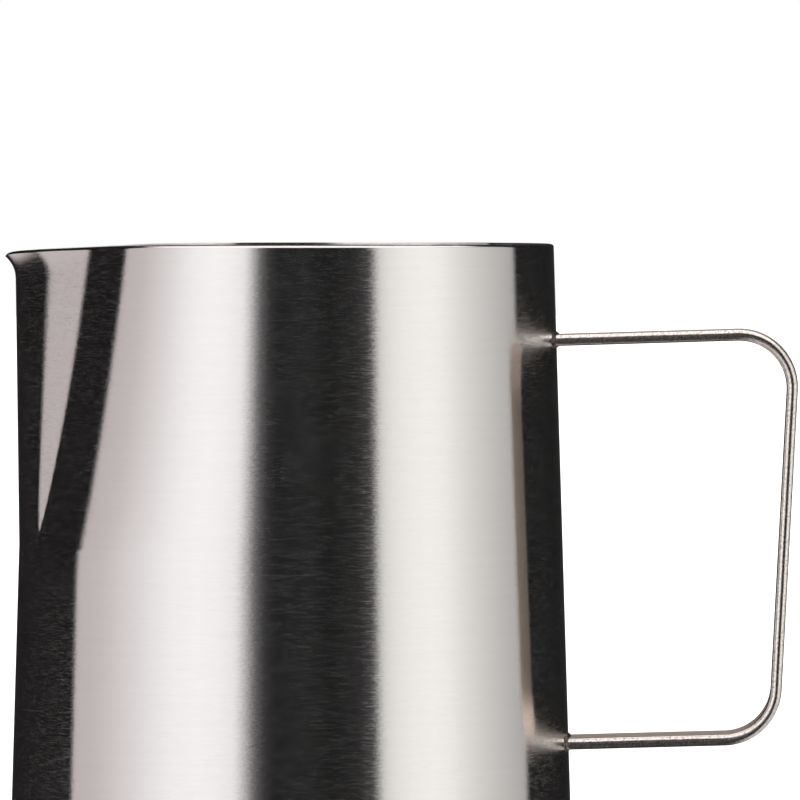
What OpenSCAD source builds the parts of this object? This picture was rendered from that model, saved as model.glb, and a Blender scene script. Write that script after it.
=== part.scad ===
// Milk frothing pitcher: a drawn cup with a pressed pouring spout and a welded strap handle.
// Origin at the centre of the base underside. +Z is up, the handle points to +X, the spout to -X.

/* [Cup] */
// Height from the base to the rim, mm
cup_h = 110; // [80:1:160]
// Outer radius at the rim, away from the spout, mm
rim_r = 43.8; // [34:0.1:60]
// How far the wall widens from the rim down, degrees
wall_taper = 1.75; // [0:0.05:4]
// Outer radius of the turn between wall and base, mm
corner_r = 12; // [6:0.5:16]
// Sheet thickness, mm
sheet_t = 1.0; // [0.6:0.1:1.5]

/* [Spout] */
// Height at which the spout begins to leave the round wall, mm
spout_z = 60; // [40:0.5:64]
// How far the nose stands out of the round wall at the rim, mm
nose_out = 2.1; // [1:0.1:5]
// Direction of each flat flank's normal from the spout's axis, degrees
flank_dir = 45; // [36:0.5:50]
// How far each flank lies inside the round wall at the rim, mm
flank_inset = 3.75; // [2:0.05:5]
// How far it lies inside the round wall at the spout's foot, mm
flank_root_inset = 2.4; // [1.5:0.05:4]
// How far the wall beside the spout is drawn in at the rim, mm
pinch = 4.3; // [0:0.1:5]
// How far the pouring lip curls out, mm
lip_out = 2.3; // [0:0.1:2.8]
// How far the rim falls along the spout, mm
rim_fall = 1.2; // [0:0.05:2]
// How much further the rim falls at the lip's point, mm
tip_fall = 0.55; // [0:0.05:1.5]

/* [Handle] */
// Thickness of the strap, mm
strap_t = 1.9; // [1.5:0.1:3]
// Width of the strap, mm
strap_w = 11; // [8:0.5:16]
// Depth of the strap's weld line below the rim, mm
upper_weld_drop = 16; // [12:0.5:25]
// Height of the lower weld line, mm
lower_weld_z = 27; // [20:0.5:34]
// How far the strap's outer face is from the cup's axis, mm
reach = 84.4; // [74:0.2:100]
// Lean of the grip towards the cup as it goes down, degrees
grip_lean = 3; // [0:0.5:6]
// Centreline radius of the upper bend, mm
upper_bend_r = 8.8; // [5:0.1:12]
// Centreline radius of the lower bend, mm
lower_bend_r = 8.8; // [5:0.1:12]
// How far a weld bead stands out round the strap, mm
bead = 0.5; // [0.4:0.1:1.2]

/* [Hidden] */
$fn = 96;

steel = "#c9c7c6";
polished = "#dcdbda";
weld_tint = "#8f857c";

// Points round the cup, and levels in its corner, its plain wall, its spout and its rim edge
sides = 90;
corner_steps = 5;
wall_steps = 2;
spout_steps = 14;
edge_steps = 4;
// The spout's levels crowd towards the lip by this power
level_crowding = 1.8;

// Angle from the spout's axis at which the drawn-in wall is deepest, and where it is round again
pinch_dir = 32.5;
round_dir = 127;
pinch_shape = 4;
// The wall is drawn in early as the spout rises, by this power of the spout's share
pinch_rise = 0.72;
// Blend lengths along the nose's ridge and the flank's root at the rim, mm
ridge_blend = 3.75;
root_blend = 0.7;
// Height of the lip's curl, and the power by which it steepens towards the rim
curl_h = 5;
curl_power = 2.5;
// Half widths in degrees of the curl, of the rim's fall and of its further fall at the point
curl_dir = 18;
fall_dir = 38;
point_dir = 10.5;

taper = tan(wall_taper);

// Round wall's outer radius at height z
function wall_r(z) = rim_r + taper * (cup_h - z);
// Share of the spout that is out at height z, 0 at its foot and 1 at the rim
function out_share(z) = max(0, min(1, (z - spout_z) / (cup_h - spout_z)));

// The flanks' distance in from the round wall
function inset_at(share) = flank_root_inset + (flank_inset - flank_root_inset) * share;

function bell(a, half) = exp(-pow(a / half, 2));

// Smooth least and greatest of two lengths, rounded over the length s
function blend_h(a, b, s) = max(0, min(1, 0.5 + 0.5 * (b - a) / s));
function smooth_min(a, b, s) =
    let (h = blend_h(a, b, s)) b + (a - b) * h - s * h * (1 - h);
function smooth_max(a, b, s) = -smooth_min(-a, -b, s);

// Outer radius of the wall drawn in beside the spout, a degrees from the spout's axis
function drawn_r(a, z) =
    let (u = max(0, min(1, (a - pinch_dir) / (round_dir - pinch_dir))))
    wall_r(z) - pinch * pow(out_share(z), pinch_rise) * pow((1 + cos(180 * u)) / 2, pinch_shape);

// A straight line's radius in terms of its nearest one, which falls away past the nearest point
function flank_line(a) = a < 0 ? 1 / cos(a) : cos(2 * min(a, 40));

// Outer radius of the spout alone: a round nose cut by two flat flanks
function spout_r(a, z) =
    let (flank_r = (wall_r(z) - inset_at(out_share(z))) * flank_line(a - flank_dir))
    smooth_min(wall_r(z) + nose_out * out_share(z), flank_r, ridge_blend * out_share(z));

// Outward curl of the pouring lip
function curl(a, z) =
    lip_out * bell(a, curl_dir) * pow(max(0, (z - cup_h + curl_h) / curl_h), curl_power);

// Outer radius of the whole shell, a degrees from the spout's axis
function shell_r(a, z) =
    a > 90 || out_share(z) == 0
        ? drawn_r(a, z)
        : smooth_max(drawn_r(a, z), spout_r(a, z), root_blend * out_share(z)) + curl(a, z);

// How far the rim lies below cup_h
function fall(a) = rim_fall * bell(a, fall_dir) + tip_fall * bell(a, point_dir);

function dir(i) = 360 * i / sides;
function from_spout(i) = abs(180 - dir(i));

// One ring of points with radius r(a) less an inset, and height z less a share of the rim's fall
function ring(z, inset, fall_share, raise) = [
    for (i = [0 : sides - 1])
        let (a = from_spout(i), r = shell_r(a, z) - inset)
        [r * cos(dir(i)), r * sin(dir(i)), z + raise - fall_share * fall(a)]
];
function plain_ring(r, z) = [for (i = [0 : sides - 1]) [r * cos(dir(i)), r * sin(dir(i)), z]];

// Rings of the corner: a quarter turn of radius turn_r about the corner's centre
function corner_rings(turn_r, centre_r, order) = [
    for (k = order)
        let (t = 90 * k / corner_steps)
        plain_ring(centre_r + turn_r * sin(t), corner_r - turn_r * cos(t))
];

centre_r = wall_r(corner_r) - corner_r;
wall_levels = [
    for (k = [1 : wall_steps]) corner_r + (spout_z - corner_r) * k / wall_steps
];
// Heights of the spout's rings, which end where the rim's rounded edge begins
edge_z = cup_h - sheet_t / 2;
spout_levels = [
    for (k = [1 : spout_steps])
        spout_z + (edge_z - spout_z) * (1 - pow(1 - k / spout_steps, level_crowding))
];
levels = concat(wall_levels, spout_levels);

// A ring at height z follows the rim's fall more the nearer it is to the rim
function fall_share(z) = pow(out_share(z), 3);

outer_rings = concat(
    corner_rings(corner_r, centre_r, [0 : corner_steps]),
    [for (z = levels) ring(z, 0, fall_share(z), 0)]
);
edge_rings = [
    for (k = [1 : edge_steps - 1])
        let (t = 180 * k / edge_steps, e = sheet_t / 2)
        ring(edge_z, e - e * cos(t), fall_share(edge_z), e * sin(t))
];
inner_rings = concat(
    [for (k = [len(levels) - 1 : -1 : 0]) ring(levels[k], sheet_t, fall_share(levels[k]), 0)],
    corner_rings(corner_r - sheet_t, centre_r, [corner_steps : -1 : 0])
);

// Closed skin through a stack of rings, with a flat face at each end
module ring_stack(rings) {
    last = (len(rings) - 1) * sides;
    polyhedron(
        points = [for (r = rings) for (p = r) p],
        faces = concat(
            [[for (i = [0 : sides - 1]) i]],
            [[for (i = [sides - 1 : -1 : 0]) last + i]],
            [for (k = [0 : len(rings) - 2]) for (i = [0 : sides - 1]) for (tri = quad(k, i)) tri]
        )
    );
}
function quad(k, i) =
    let (
        j = (i + 1) % sides,
        a = k * sides + i,
        b = k * sides + j,
        c = (k + 1) * sides + j,
        d = (k + 1) * sides + i
    )
    i < sides / 2 ? [[a, d, b], [b, d, c]] : [[a, d, c], [a, c, b]];

module body_shell() {
    color(steel) ring_stack(concat(outer_rings, edge_rings, inner_rings));
}

// The strap's flat section with fully rounded edges, thickness along X and width along Y
module strap_section(grow = 0) {
    r = strap_t / 2 + grow;
    half = (strap_w - strap_t) / 2;
    translate([-r, -half]) square([2 * r, 2 * half]);
    for (s = [-1, 1]) translate([0, s * half]) circle(r);
}

// Strap's centreline in the XZ plane. The runs are square to the cup's wall.
upper_z = cup_h - upper_weld_drop;
upper_start = [wall_r(upper_z), upper_z];
lower_start = [wall_r(lower_weld_z), lower_weld_z];
out_dir = [cos(wall_taper), sin(wall_taper)];
grip_dir = [sin(grip_lean), cos(grip_lean)];

// Grip line: through the point of the upper bend that reaches furthest out
upper_turn = 90 + grip_lean + wall_taper;
lower_turn = 90 - grip_lean - wall_taper;
// Tangent lengths of the two bends
upper_tan = upper_bend_r * tan(upper_turn / 2);
lower_tan = lower_bend_r * tan(lower_turn / 2);
grip_x = reach - strap_t / 2;
// Where the upper run's line meets the grip's line, so that the bend's outer face is at the reach
upper_len = (grip_x - upper_bend_r * (1 + out_dir[1]) - upper_start[0]) / out_dir[0];
upper_bend_at = upper_start + upper_len * out_dir;
upper_centre = upper_bend_at + upper_bend_r * [out_dir[1], -out_dir[0]];
grip_top = upper_centre + upper_bend_r * [grip_dir[1], -grip_dir[0]];
corner_top = upper_bend_at + upper_tan * out_dir;
// Distance down the grip's line, from the corner of the upper bend to that of the lower one
cross_z = out_dir[0] * grip_dir[1] - out_dir[1] * grip_dir[0];
corner_gap = let (d = corner_top - lower_start) (out_dir[0] * d[1] - out_dir[1] * d[0]) / cross_z;
corner_low = corner_top - corner_gap * grip_dir;
grip_low = corner_low + lower_tan * grip_dir;
lower_bend_at = corner_low - lower_tan * out_dir;
lower_centre = lower_bend_at + lower_bend_r * [-out_dir[1], out_dir[0]];
lower_len = norm(lower_bend_at - lower_start);

// A straight run of the strap's section from p along the direction d, both in the XZ plane
module run(p, d, len, grow = 0) {
    translate([p[0], 0, p[1]])
        rotate([0, atan2(d[0], d[1]), 0])
        linear_extrude(len) strap_section(grow - run_slim);
}

// A bend of the strap about c, turning from angle a0 by turn degrees in the XZ plane
module bend(c, bend_r, a0, turn) {
    translate([c[0], 0, c[1]])
        rotate([90, 0, 0])
        rotate([0, 0, a0])
        rotate_extrude(angle = turn) translate([bend_r, 0]) strap_section();
}

// The round wall as a solid cone, which cuts the strap's ends to fit
module wall_cone() {
    translate([0, 0, corner_r])
        cylinder(h = cup_h, r1 = wall_r(corner_r), r2 = wall_r(corner_r + cup_h), $fn = 256);
}

// The runs start this far inside the wall before they are cut
bite = 2;
// The runs are this much slimmer than the bends all round, and reach this far into them
run_slim = 0.01;
lap = 0.2;

module handle_strap() {
    color(polished) difference() {
        union() {
            run(upper_start - bite * out_dir, out_dir, bite + upper_len + lap);
            bend(upper_centre, upper_bend_r, -grip_lean, upper_turn);
            run(grip_low - lap * grip_dir, grip_dir, norm(grip_top - grip_low) + 2 * lap);
            bend(lower_centre, lower_bend_r, -90 + wall_taper, lower_turn);
            run(lower_start - bite * out_dir, out_dir, bite + lower_len + lap);
        }
        wall_cone();
    }
}

// A weld's collar round the strap where it meets the wall
module weld_bead(p) {
    color(weld_tint) difference() {
        run(p - bite * out_dir, out_dir, bite + bead, bead);
        run(p - 2 * bite * out_dir, out_dir, 4 * bite);
        wall_cone();
    }
}
module upper_weld_bead() weld_bead(upper_start);
module lower_weld_bead() weld_bead(lower_start);

body_shell();
handle_strap();
upper_weld_bead();
lower_weld_bead();
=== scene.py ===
"""Looks for the milk frothing pitcher: brushed cup, polished strap, weld beads, plain studio."""

import math

import bpy
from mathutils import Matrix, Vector, noise


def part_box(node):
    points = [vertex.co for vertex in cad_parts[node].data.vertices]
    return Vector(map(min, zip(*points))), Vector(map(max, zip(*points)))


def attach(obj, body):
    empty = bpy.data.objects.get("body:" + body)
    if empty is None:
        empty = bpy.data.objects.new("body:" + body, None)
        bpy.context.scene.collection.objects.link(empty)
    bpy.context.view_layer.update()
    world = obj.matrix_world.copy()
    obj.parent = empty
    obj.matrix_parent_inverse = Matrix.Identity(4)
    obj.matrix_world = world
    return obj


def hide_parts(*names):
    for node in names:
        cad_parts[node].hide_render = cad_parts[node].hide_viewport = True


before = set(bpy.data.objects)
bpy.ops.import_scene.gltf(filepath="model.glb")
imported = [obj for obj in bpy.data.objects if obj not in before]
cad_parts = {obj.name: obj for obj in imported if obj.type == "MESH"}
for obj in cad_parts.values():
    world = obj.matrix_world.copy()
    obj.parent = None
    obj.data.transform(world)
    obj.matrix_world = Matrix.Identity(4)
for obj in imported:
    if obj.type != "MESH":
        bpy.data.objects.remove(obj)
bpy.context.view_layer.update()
MM = 0.001

# ---------------------------------------------------------------- sizes, mm
#
# They are the CAD part's, apart from the rim's inner edge, the strap's sink and the beads.

_, cup_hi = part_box("body_shell")
strap_lo, strap_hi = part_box("handle_strap")

# The cup: one sheet with a turned corner, a tapered wall and a rim left nearly square inside
SHEET_T = 1.0
RIM_INNER_R = 0.12
CORNER_R = 12.0
WALL_TAPER = math.tan(math.radians(1.75))
CUP_H = cup_hi.z / MM
RIM_R = cup_hi.y / MM - WALL_TAPER * (CUP_H - CORNER_R)

# The spout: a round nose, two flat flanks, and the wall drawn in beside them; directions are
# degrees from the spout's axis
SPOUT_Z = 60.0
NOSE_OUT = 2.1
FLANK_DIR = 45.0
FLANK_FOLD = 40.0
FLANK_INSET = 3.75
FLANK_ROOT_INSET = 2.4
PINCH = 4.3
PINCH_DIR = 32.5
PINCH_END = 127.0
PINCH_SHAPE = 4
PINCH_RISE = 0.72
RIDGE_BLEND = 3.75
ROOT_BLEND = 0.7

# The pouring lip's curl, and the fall of the rim along the spout and at its point
LIP_OUT = 2.3
CURL_DIR = 18.0
CURL_H = 5.0
CURL_POWER = 2.5
RIM_FALL = 1.2
FALL_DIR = 38.0
POINT_FALL = 0.55
POINT_DIR = 10.5
FALL_POWER = 3

# The strap, welded on at two heights, and how far its ends go into the wall
STRAP_T = 1.9
STRAP_W = (strap_hi.y - strap_lo.y) / MM
REACH = strap_hi.x / MM
UPPER_Z = CUP_H - 16.0
LOWER_Z = 27.0
GRIP_LEAN = math.radians(3.0)
BEND_R = 8.8
STRAP_SINK = 0.4

# A weld bead: its usual size, how uneven it is, how fast that changes, and its laps
BEAD_SIZE = 0.38
BEAD_UNEVENNESS = 0.16
BEAD_CHANGE = 0.9
BEAD_CLIMB = 1.15
BEAD_LAP = 0.05
BEAD_ROOT = 0.1


# ---------------------------------------------------------------- the cup's shape


def clamp(x):
    return max(0.0, min(1.0, x))


def bell(a, half):
    return math.exp(-((a / half) ** 2))


def smooth_min(a, b, s):
    if s <= 0:
        return min(a, b)
    h = clamp(0.5 + 0.5 * (b - a) / s)
    return b + (a - b) * h - s * h * (1 - h)


def wall_r(z):
    return RIM_R + WALL_TAPER * (CUP_H - z)


def out_share(z):
    return clamp((z - SPOUT_Z) / (CUP_H - SPOUT_Z))


def drawn_r(a, z):
    """The round wall, drawn in beside the spout; a is degrees from the spout's axis."""
    u = clamp((a - PINCH_DIR) / (PINCH_END - PINCH_DIR))
    cheek = ((1 + math.cos(math.pi * u)) / 2) ** PINCH_SHAPE
    return wall_r(z) - PINCH * out_share(z) ** PINCH_RISE * cheek


def spout_r(a, z):
    """A round nose cut by two flat flanks, each of which turns inwards past its nearest point."""
    off = math.radians(a - FLANK_DIR)
    fold = math.radians(FLANK_FOLD)
    line = 1 / math.cos(off) if off < 0 else math.cos(2 * min(off, fold))
    inset = FLANK_ROOT_INSET + (FLANK_INSET - FLANK_ROOT_INSET) * out_share(z)
    flank = (wall_r(z) - inset) * line
    return smooth_min(wall_r(z) + NOSE_OUT * out_share(z), flank, RIDGE_BLEND * out_share(z))


def curl(a, z):
    """How far the pouring lip curls out."""
    rise = max(0.0, (z - CUP_H + CURL_H) / CURL_H)
    return LIP_OUT * bell(a, CURL_DIR) * rise**CURL_POWER


def shell_r(a, z):
    """The cup's outer radius, a degrees from the spout's axis."""
    if a > 90 or out_share(z) == 0:
        return drawn_r(a, z)
    blend = ROOT_BLEND * out_share(z)
    return -smooth_min(-drawn_r(a, z), -spout_r(a, z), blend) + curl(a, z)


def fall(a):
    """How far the rim falls; fall_share is the part of it that a lower level takes."""
    return RIM_FALL * bell(a, FALL_DIR) + POINT_FALL * bell(a, POINT_DIR)


def fall_share(z):
    return out_share(z) ** FALL_POWER


SIDES = 384
ANGLES = [2 * math.pi * i / SIDES for i in range(SIDES)]


def ring(z, inset, rise=0.0):
    """A level of the wall, inset from its outside and raised."""
    points = []
    for t in ANGLES:
        a = abs(180 - math.degrees(t))
        r = shell_r(a, z) - inset
        high = z + rise - fall_share(z) * fall(a)
        points.append((r * math.cos(t), r * math.sin(t), high))
    return points


def plain_ring(r, z):
    return [(r * math.cos(t), r * math.sin(t), z) for t in ANGLES]


def corner_rings(turn_r, steps):
    """Rings of the turned corner, from the base up to the wall."""
    centre = wall_r(CORNER_R) - CORNER_R
    rings = []
    for k in range(steps + 1):
        t = math.pi / 2 * k / steps
        rings.append(plain_ring(centre + turn_r * math.sin(t), CORNER_R - turn_r * math.cos(t)))
    return rings


def floor_rings(z, steps):
    """Rings of a flat disc, from near its centre out to the corner."""
    edge = wall_r(CORNER_R) - CORNER_R
    return [plain_ring(edge * k / steps, z) for k in range(1, steps)]


def new_object(name, points, faces, smooth=True):
    mesh = bpy.data.meshes.new(name)
    mesh.from_pydata([tuple(c * MM for c in p) for p in points], [], faces)
    mesh.validate()
    if smooth:
        mesh.polygons.foreach_set("use_smooth", [True] * len(mesh.polygons))
    mesh.update()
    piece = bpy.data.objects.new(name, mesh)
    bpy.context.scene.collection.objects.link(piece)
    return piece


def skin(rings, capped):
    """Points and faces of a skin through rings; each capped end closes on a centre point."""
    n = len(rings[0])
    points = [p for r in rings for p in r]
    faces = []
    for k in range(len(rings) - 1):
        for i in range(n):
            j = (i + 1) % n
            faces.append((k * n + i, k * n + j, (k + 1) * n + j, (k + 1) * n + i))
    for base, centre, turn in capped:
        points.append(centre)
        tip = len(points) - 1
        for i in range(n):
            j = (i + 1) % n
            faces.append((base + j, base + i, tip) if turn else (base + i, base + j, tip))
    return points, faces


def rim_profile(steps):
    """The rim's edge as (inset, rise): rounded on the outside, nearly square on the inside."""
    high = SHEET_T / 2
    inner = RIM_INNER_R
    outer = SHEET_T - inner
    points = []
    for k in range(1, steps + 1):
        t = math.pi / 2 * k / steps
        points.append((outer - outer * math.cos(t), high * math.sin(t)))
    for k in range(1, steps + 1):
        t = math.pi / 2 * k / steps
        points.append((outer + inner * math.sin(t), high - inner + inner * math.cos(t)))
    return points


def make_cup():
    corner_steps = 20
    wall_steps = 8
    spout_steps = 96
    edge_steps = 8
    disc_steps = 6
    crowding = 1.6
    edge_z = CUP_H - SHEET_T / 2
    levels = [CORNER_R + (SPOUT_Z - CORNER_R) * k / wall_steps for k in range(1, wall_steps + 1)]
    for k in range(1, spout_steps + 1):
        share = 1 - (1 - k / spout_steps) ** crowding
        levels.append(SPOUT_Z + (edge_z - SPOUT_Z) * share)
    outer = floor_rings(0, disc_steps) + corner_rings(CORNER_R, corner_steps)
    outer += [ring(z, 0) for z in levels]
    edge = [ring(edge_z, inset, rise) for inset, rise in rim_profile(edge_steps)]
    inner = [ring(z, SHEET_T) for z in reversed(levels)]
    inner += corner_rings(CORNER_R - SHEET_T, corner_steps)[::-1]
    inner += floor_rings(SHEET_T, disc_steps)[::-1]
    rings = outer + edge + inner
    last = (len(rings) - 1) * SIDES
    caps = [(0, (0, 0, 0), True), (last, (0, 0, SHEET_T), False)]
    return new_object("brushed_cup", *skin(rings, caps))


# ---------------------------------------------------------------- the strap's path


def strap_path():
    """The strap's centreline as (x, z, heading) stations, its two weld points and its way out."""
    tilt = math.atan(WALL_TAPER)
    out = Vector((math.cos(tilt), math.sin(tilt)))
    grip = Vector((math.sin(GRIP_LEAN), math.cos(GRIP_LEAN)))
    upper = Vector((wall_r(UPPER_Z), UPPER_Z))
    lower = Vector((wall_r(LOWER_Z), LOWER_Z))
    grip_x = REACH - STRAP_T / 2
    length = (grip_x - BEND_R * (1 + out.y) - upper.x) / out.x
    bend_at = upper + length * out
    centre = bend_at + BEND_R * Vector((out.y, -out.x))
    upper_turn = math.pi / 2 + GRIP_LEAN + tilt
    lower_turn = math.pi / 2 - GRIP_LEAN - tilt
    corner = bend_at + BEND_R * math.tan(upper_turn / 2) * out
    gap = corner - lower
    down = (out.x * gap.y - out.y * gap.x) / (out.x * grip.y - out.y * grip.x)
    low_corner = corner - down * grip
    low_tan = BEND_R * math.tan(lower_turn / 2)
    low_bend = low_corner - low_tan * out
    low_centre = low_bend + BEND_R * Vector((-out.y, out.x))
    stations = []

    def straight(p, q, heading, steps):
        for k in range(steps):
            stations.append((*p.lerp(q, k / steps), heading))

    def turn(c, start, sweep, steps):
        for k in range(steps):
            t = start - sweep * k / steps
            at = c + BEND_R * Vector((math.cos(t), math.sin(t)))
            stations.append((at.x, at.y, t - math.pi / 2))

    steps = 40
    straight(upper - STRAP_SINK * out, bend_at, tilt, steps)
    turn(centre, math.pi / 2 + tilt, upper_turn, steps)
    grip_top = corner - BEND_R * math.tan(upper_turn / 2) * grip
    grip_low = low_corner + low_tan * grip
    straight(grip_top, grip_low, -GRIP_LEAN - math.pi / 2, 2 * steps)
    turn(low_centre, -GRIP_LEAN, lower_turn, steps)
    end = lower - STRAP_SINK * out
    straight(low_bend, end, math.pi + tilt, steps)
    stations.append((end.x, end.y, math.pi + tilt))
    return stations, upper, lower, out


def stadium(half_w, r, steps):
    """The strap's section, as (thickness, width) offsets round a flat bar with round edges."""
    points = []
    for side, start in ((1, 0.0), (-1, math.pi)):
        for k in range(steps + 1):
            t = start + math.pi * k / steps
            points.append((r * math.cos(t), side * half_w + r * math.sin(t)))
    return points


def make_strap(stations):
    edge_steps = 14
    section = stadium((STRAP_W - STRAP_T) / 2, STRAP_T / 2, edge_steps)
    rings = []
    for x, z, heading in stations:
        nx, nz = -math.sin(heading), math.cos(heading)
        rings.append([(x + nx * t, w, z + nz * t) for t, w in section])
    n = len(section)
    last = (len(rings) - 1) * n
    ends = [(stations[0], 0, True), (stations[-1], last, False)]
    caps = [(base, (s[0], 0, s[1]), turn) for s, base, turn in ends]
    return new_object("polished_strap", *skin(rings, caps))


def make_bead(name, at, out, seed):
    """A small uneven fillet round the strap's end, lying on the wall."""
    around = 168
    across = 8
    r = STRAP_T / 2
    half_w = (STRAP_W - STRAP_T) / 2
    normal = Vector((-out.y, out.x))
    perimeter = 4 * half_w + 2 * math.pi * r
    rings = []
    for i in range(around):
        s = perimeter * i / around
        if s < 2 * half_w:
            t, w, dt, dw = r, half_w - s, 1, 0
        elif s < 2 * half_w + math.pi * r:
            a = (s - 2 * half_w) / r
            t, w, dt, dw = r * math.cos(a), -half_w - r * math.sin(a), math.cos(a), -math.sin(a)
        elif s < 4 * half_w + math.pi * r:
            t, w, dt, dw = -r, -half_w + s - 2 * half_w - math.pi * r, -1, 0
        else:
            a = (s - 4 * half_w - math.pi * r) / r
            t, w, dt, dw = -r * math.cos(a), half_w + r * math.sin(a), -math.cos(a), math.sin(a)
        size = BEAD_SIZE + BEAD_UNEVENNESS * noise.noise(Vector((s * BEAD_CHANGE, seed, 0)))
        loop = []
        for k in range(across + 1):
            b = math.pi / 2 * k / across
            stand = size * math.cos(b) - BEAD_LAP
            climb = size * BEAD_CLIMB * math.sin(b)
            side = w + dw * stand
            wall = at + normal * (t + dt * stand)
            depth = math.sqrt(max(0, wall_r(wall.y) ** 2 - side**2))
            p = Vector((depth, wall.y)) + out * (climb - BEAD_LAP)
            loop.append((p.x, side, p.y))
        root = at + normal * (t - dt * BEAD_LAP)
        depth = math.sqrt(max(0, wall_r(root.y) ** 2 - w**2))
        loop.append((depth - BEAD_ROOT, w - dw * BEAD_LAP, root.y))
        rings.append(loop)
    points = [p for loop in rings for p in loop]
    n = across + 2
    faces = []
    for i in range(around):
        j = (i + 1) % around
        for k in range(n):
            m = (k + 1) % n
            faces.append((i * n + k, j * n + k, j * n + m, i * n + m))
    return new_object(name, points, faces)


# ---------------------------------------------------------------- materials

# How far the hairlines and the grit turn the surface from side to side, as slopes
HAIRLINE_SWAY = 0.01
GRIT_SWAY = 0.036


class Tree:
    """Short calls for building a node tree."""

    def __init__(self, tree):
        self.tree = tree
        tree.nodes.clear()

    def add(self, kind, inputs=None, **settings):
        node = self.tree.nodes.new(kind)
        for key, value in settings.items():
            setattr(node, key, value)
        for key, value in (inputs or {}).items():
            self.put(value, node.inputs[key])
        return node

    def put(self, value, socket):
        if isinstance(value, bpy.types.NodeSocket):
            self.tree.links.new(value, socket)
        else:
            socket.default_value = value

    def math(self, operation, a, b=0.0, c=0.0):
        return self.add("ShaderNodeMath", {0: a, 1: b, 2: c}, operation=operation).outputs[0]

    def ramp(self, value, stops, mode="LINEAR"):
        node = self.add("ShaderNodeValToRGB", {"Fac": value})
        ramp = node.color_ramp
        ramp.interpolation = mode
        while len(ramp.elements) < len(stops):
            ramp.elements.new(1.0)
        for element, (place, colour) in zip(ramp.elements, stops):
            element.position = place
            element.color = (*colour, 1.0) if isinstance(colour, tuple) else (colour,) * 3 + (1.0,)
        return node.outputs[0]

    def mix(self, factor, a, b, blend="MIX"):
        node = self.add("ShaderNodeMix", {"Factor": factor}, data_type="RGBA", blend_type=blend)
        self.put(a, node.inputs["A"])
        self.put(b, node.inputs["B"])
        return node.outputs["Result"]

    def noise(self, vector, scale, detail=2.0, roughness=0.5):
        settings = {"Vector": vector, "Scale": scale, "Detail": detail, "Roughness": roughness}
        return self.add("ShaderNodeTexNoise", settings).outputs[0]

    def stretched(self, x, y, z):
        """Object coordinates in mm, scaled on each axis."""
        at = self.add("ShaderNodeTexCoord").outputs["Object"]
        scale = (x / MM, y / MM, z / MM)
        return self.add("ShaderNodeMapping", {"Vector": at, "Scale": scale}).outputs[0]


def principled(name, base, roughness, anisotropic=0.0, turned=0.0, tangent=True):
    material = bpy.data.materials.new(name)
    material.use_nodes = True
    t = Tree(material.node_tree)
    shader = t.add("ShaderNodeBsdfPrincipled")
    shader.inputs["Base Color"].default_value = (*base, 1)
    shader.inputs["Metallic"].default_value = 1.0
    shader.inputs["Roughness"].default_value = roughness
    shader.inputs["Anisotropic"].default_value = anisotropic
    shader.inputs["Anisotropic Rotation"].default_value = turned
    if tangent:
        radial = t.add("ShaderNodeTangent", direction_type="RADIAL", axis="Z")
        t.put(radial.outputs[0], shader.inputs["Tangent"])
    output = t.add("ShaderNodeOutputMaterial")
    t.put(shader.outputs[0], output.inputs[0])
    return material, t, shader


def brushed_steel(name):
    """Hairline brushing round the cup, with fine grit and a few dull scratches."""
    material, t, shader = principled(name, (0.8, 0.775, 0.77), 0.14, 1.0, 0.25)
    fine = t.noise(t.stretched(0.5, 0.5, 5.5), 1.0, 3.0, 0.8)
    broad = t.noise(t.stretched(0.05, 0.05, 0.9), 1.0, 2.0, 0.6)
    across = t.add("ShaderNodeTangent", direction_type="RADIAL", axis="Z").outputs[0]
    grit = t.noise(t.stretched(2.2, 2.2, 5.0), 1.0, 2.0, 0.7)
    line_sway = t.math("MULTIPLY_ADD", fine, HAIRLINE_SWAY, -0.5 * (HAIRLINE_SWAY + GRIT_SWAY))
    sway = t.math("MULTIPLY_ADD", grit, GRIT_SWAY, line_sway)
    lean = t.add("ShaderNodeVectorMath", {0: across, "Scale": sway}, operation="SCALE")
    plain = t.add("ShaderNodeNewGeometry").outputs["Normal"]
    swayed = t.add("ShaderNodeVectorMath", {0: plain, 1: lean.outputs[0]}, operation="ADD")
    unit = t.add("ShaderNodeVectorMath", {0: swayed.outputs[0]}, operation="NORMALIZE")
    settings = {"Strength": 0.3, "Distance": 0.00001, "Height": fine, "Normal": unit.outputs[0]}
    bump = t.add("ShaderNodeBump", settings)
    t.put(bump.outputs[0], shader.inputs["Normal"])
    both = t.math("ADD", t.math("MULTIPLY", fine, 0.6), t.math("MULTIPLY", broad, 0.4))
    tone = t.ramp(both, [(0.35, (0.785, 0.76, 0.755)), (0.65, (0.81, 0.785, 0.78))])
    t.put(tone, shader.inputs["Base Color"])
    t.put(t.ramp(fine, [(0.35, 0.09), (0.5, 0.12), (0.7, 0.24)]), shader.inputs["Roughness"])
    scratches = t.noise(t.stretched(0.3, 0.3, 3.6), 1.0, 2.0, 0.7)
    t.put(t.ramp(scratches, [(0.5, 1.0), (0.68, 0.984)]), shader.inputs["Metallic"])
    return material


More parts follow.
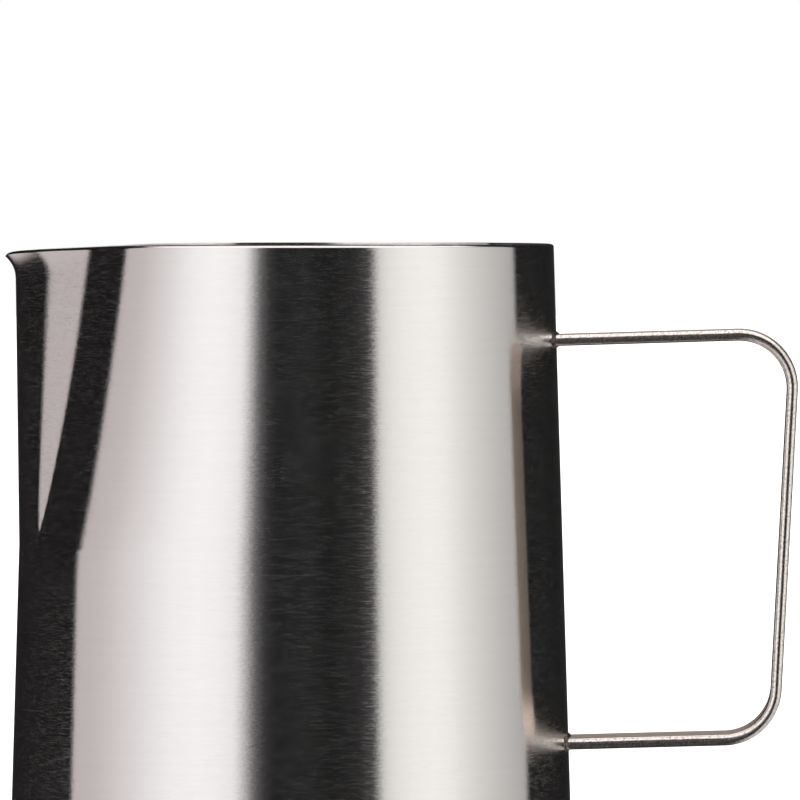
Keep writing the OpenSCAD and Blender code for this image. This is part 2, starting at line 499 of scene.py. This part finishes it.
def polished_strip(name):
    """Bar with tumbled, glossy, pitted edges and satin flat faces; the flat faces' tan colour is a
    painted warm reflection.
    """
    material, t, shader = principled(name, (0.8, 0.78, 0.75), 0.1, tangent=False)
    dents = t.noise(t.stretched(0.7, 0.7, 0.7), 1.0, 3.0, 0.6)
    pits = t.noise(t.stretched(2.2, 2.2, 2.2), 1.0, 4.0, 0.75)
    both = t.math("ADD", t.math("MULTIPLY", dents, 0.5), t.math("MULTIPLY", pits, 0.5))
    bump = t.add("ShaderNodeBump", {"Strength": 0.55, "Distance": 0.00012, "Height": both})
    t.put(bump.outputs[0], shader.inputs["Normal"])
    facing = t.add("ShaderNodeNewGeometry").outputs["Normal"]
    aside = t.math("ABSOLUTE", t.add("ShaderNodeSeparateXYZ", {0: facing}).outputs[1])
    flat = t.ramp(aside, [(0.1, 1.0), (0.3, 0.0)])
    edge = t.ramp(pits, [(0.34, (0.5, 0.39, 0.35)), (0.52, (0.86, 0.81, 0.78))])
    # The flat faces' tan colour is a painted warm reflection, not the steel's own tint.
    painted_warm_face = t.ramp(dents, [(0.3, (0.75, 0.64, 0.54)), (0.7, (0.81, 0.7, 0.6))])
    t.put(t.mix(flat, edge, painted_warm_face), shader.inputs["Base Color"])
    gloss = t.math("MULTIPLY_ADD", pits, 0.1, 0.04)
    t.put(t.math("MULTIPLY_ADD", flat, 0.3, gloss), shader.inputs["Roughness"])
    t.put(t.math("MULTIPLY_ADD", flat, -0.1, 0.97), shader.inputs["Metallic"])
    return material


def weld_metal(name):
    """As-welded bead with straw to brown heat tint."""
    material, t, shader = principled(name, (0.42, 0.37, 0.33), 0.35, tangent=False)
    mottle = t.noise(t.stretched(1.3, 1.3, 1.3), 1.0, 3.0, 0.6)
    stops = [(0.3, (0.04, 0.03, 0.02)), (0.5, (0.1, 0.075, 0.06)), (0.7, (0.3, 0.26, 0.23))]
    t.put(t.ramp(mottle, stops), shader.inputs["Base Color"])
    bump = t.add("ShaderNodeBump", {"Strength": 0.5, "Distance": 0.0001, "Height": mottle})
    t.put(bump.outputs[0], shader.inputs["Normal"])
    t.put(t.math("MULTIPLY_ADD", mottle, 0.3, 0.2), shader.inputs["Roughness"])
    return material


# ---------------------------------------------------------------- studio

# The camera's distance from its target, its height over the rim, and where it looks, mm
CAMERA_AWAY = 1200.0
CAMERA_OVER_RIM = 7.64
LOOK_BELOW_RIM = 26.07
LOOK_ASIDE = 18.17
CAMERA_TURN = math.radians(3.17)
LENS = 324.0
SENSOR = 36.0


def make_camera():
    data = bpy.data.cameras.new("camera")
    data.sensor_width = SENSOR
    data.lens = LENS
    camera = bpy.data.objects.new("camera", data)
    bpy.context.scene.collection.objects.link(camera)
    right = Vector((math.cos(CAMERA_TURN), math.sin(CAMERA_TURN), 0))
    back = Vector((math.sin(CAMERA_TURN), -math.cos(CAMERA_TURN), 0))
    target = LOOK_ASIDE * right + Vector((0, 0, CUP_H - LOOK_BELOW_RIM))
    place = target + CAMERA_AWAY * back + Vector((0, 0, LOOK_BELOW_RIM + CAMERA_OVER_RIM))
    camera.location = place * MM
    camera.rotation_euler = (target - place).to_track_quat("-Z", "Y").to_euler()
    bpy.context.scene.camera = camera


# Brightness of the studio round the cup: degrees from straight in front, towards the handle
STUDIO = [
    (-180, 0.03), (-160, 0.012), (-99, 0.006), (-96.9, 0.58), (-90, 0.6), (-83, 0.64),
    (-77.5, 0.7), (-66.4, 0.84), (-56, 1.0), (-46, 1.12), (-36, 1.16), (-27, 1.13),
    (-19, 1.02), (-11.5, 0.16), (-7.5, 0.04), (-3, 0.014), (12, 0.016), (20, 0.009),
    (32, 0.02), (38.5, 0.05), (42.5, 0.78), (47, 0.95), (55, 1.07), (64.5, 1.12),
    (72, 1.08), (80, 0.94), (90.7, 0.77), (103, 0.62), (116.5, 0.49), (119.5, 0.008),
    (160, 0.012), (180, 0.03),
]

# Brightness of the table by the same directions; just in front and behind it lies in the dark
TABLE = [
    (-180, 0.04), (-162, 0.04), (-150, 0.62), (-22, 0.62), (-12, 0.02), (33, 0.02),
    (42, 0.62), (150, 0.62), (162, 0.04), (180, 0.04),
]

# By height, 0 straight down, 0.5 the horizon and 1 straight up: how much of the overhead
# light, of the table, and of the table's light near the cup's own shadow is seen
OVERHEAD = [(0.0, 0.0), (0.84, 0.0), (0.87, 1.0)]
OVERHEAD_LIGHT = 1.3
TABLE_SEEN = [(0.31, 1.0), (0.44, 0.0)]
TABLE_SHADOW = [(0.01, 0.04), (0.05, 1.0)]

# The light's colour by share of a turn, from behind past the spout, the front and the handle
CAST = [
    (0.22, (1.07, 0.975, 0.97)), (0.34, (1.0, 0.985, 0.99)),
    (0.42, (1.0, 0.995, 1.0)), (0.6, (1.0, 0.995, 0.965)),
]


def by_turn(stops):
    """Stops in degrees, as shares of a turn."""
    return [((a + 180) / 360, v) for a, v in stops]


def make_world():
    """Banded studio for the reflections; every other ray, the camera's too, sees plain white."""
    world = bpy.data.worlds.new("studio")
    bpy.context.scene.world = world
    world.use_nodes = True
    t = Tree(world.node_tree)
    direction = t.add("ShaderNodeTexCoord").outputs["Generated"]
    axes = t.add("ShaderNodeSeparateXYZ", {0: direction}).outputs
    turn = t.math("ARCTAN2", axes[0], t.math("MULTIPLY", axes[1], -1.0))
    share = t.math("MULTIPLY_ADD", turn, 1 / (2 * math.pi), 0.5)
    rise = t.math("MULTIPLY_ADD", axes[2], 0.5, 0.5)
    bands = t.ramp(share, by_turn(STUDIO))
    lit = t.mix(t.ramp(rise, OVERHEAD), bands, (*[OVERHEAD_LIGHT] * 3, 1.0))
    table = t.ramp(share, by_turn(TABLE))
    table = t.mix(1.0, table, t.ramp(rise, TABLE_SHADOW), "MULTIPLY")
    room = t.mix(t.ramp(rise, TABLE_SEEN, "EASE"), lit, table)
    room = t.mix(1.0, room, t.ramp(share, CAST), "MULTIPLY")
    studio = t.add("ShaderNodeBackground", {"Color": room, "Strength": 1.0})
    plain = t.add("ShaderNodeBackground", {"Color": (1, 1, 1, 1), "Strength": 1.0})
    glossy = t.add("ShaderNodeLightPath").outputs["Is Glossy Ray"]
    mix = t.add("ShaderNodeMixShader", {0: glossy, 1: plain.outputs[0], 2: studio.outputs[0]})
    output = t.add("ShaderNodeOutputWorld")
    t.put(mix.outputs[0], output.inputs[0])


def make_floor():
    radius = 6000.0
    sides = 64
    below_base = 0.02
    turns = [2 * math.pi * i / sides for i in range(sides)]
    points = [(radius * math.cos(t), radius * math.sin(t), 0) for t in turns]
    floor = new_object("floor", points, [tuple(range(sides))], smooth=False)
    floor.location.z = -below_base * MM
    material = bpy.data.materials.new("pale_floor")
    material.use_nodes = True
    t = Tree(material.node_tree)
    grain = t.noise(t.stretched(0.02, 0.02, 0.02), 1.0, 3.0)
    colour = t.ramp(grain, [(0.3, (0.86, 0.86, 0.86)), (0.7, (0.88, 0.88, 0.88))])
    shader = t.add("ShaderNodeBsdfDiffuse", {"Color": colour})
    t.put(shader.outputs[0], t.add("ShaderNodeOutputMaterial").inputs[0])
    floor.data.materials.append(material)
    floor.visible_glossy = False


def make_top_light():
    """Soft light from straight above, kept out of the reflections."""
    data = bpy.data.lights.new("top_light", "SUN")
    data.energy = 2.5
    data.angle = math.radians(100)
    light = bpy.data.objects.new("top_light", data)
    light.visible_glossy = False
    bpy.context.scene.collection.objects.link(light)


# ---------------------------------------------------------------- assembly

make_camera()
make_world()
make_floor()
make_top_light()
bpy.context.scene.view_settings.view_transform = "Standard"

cup_steel = brushed_steel("cup_steel")
strap_steel = polished_strip("strap_steel")
weld_steel = weld_metal("weld_steel")

stations, upper_end, lower_end, out_dir = strap_path()
pieces = [
    (make_cup(), cup_steel, "body_shell", "cup_steel"),
    (make_strap(stations), strap_steel, "handle_strap", "strap_steel"),
    (make_bead("upper_weld", upper_end, out_dir, 1.0), weld_steel, "upper_weld_bead", "weld_metal"),
    (make_bead("lower_weld", lower_end, out_dir, 8.0), weld_steel, "lower_weld_bead", "weld_metal"),
]
for piece, material, node, slot in pieces:
    piece.data.materials.append(material)
    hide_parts(node)
    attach(piece, "root")

bpy.context.view_layer.update()
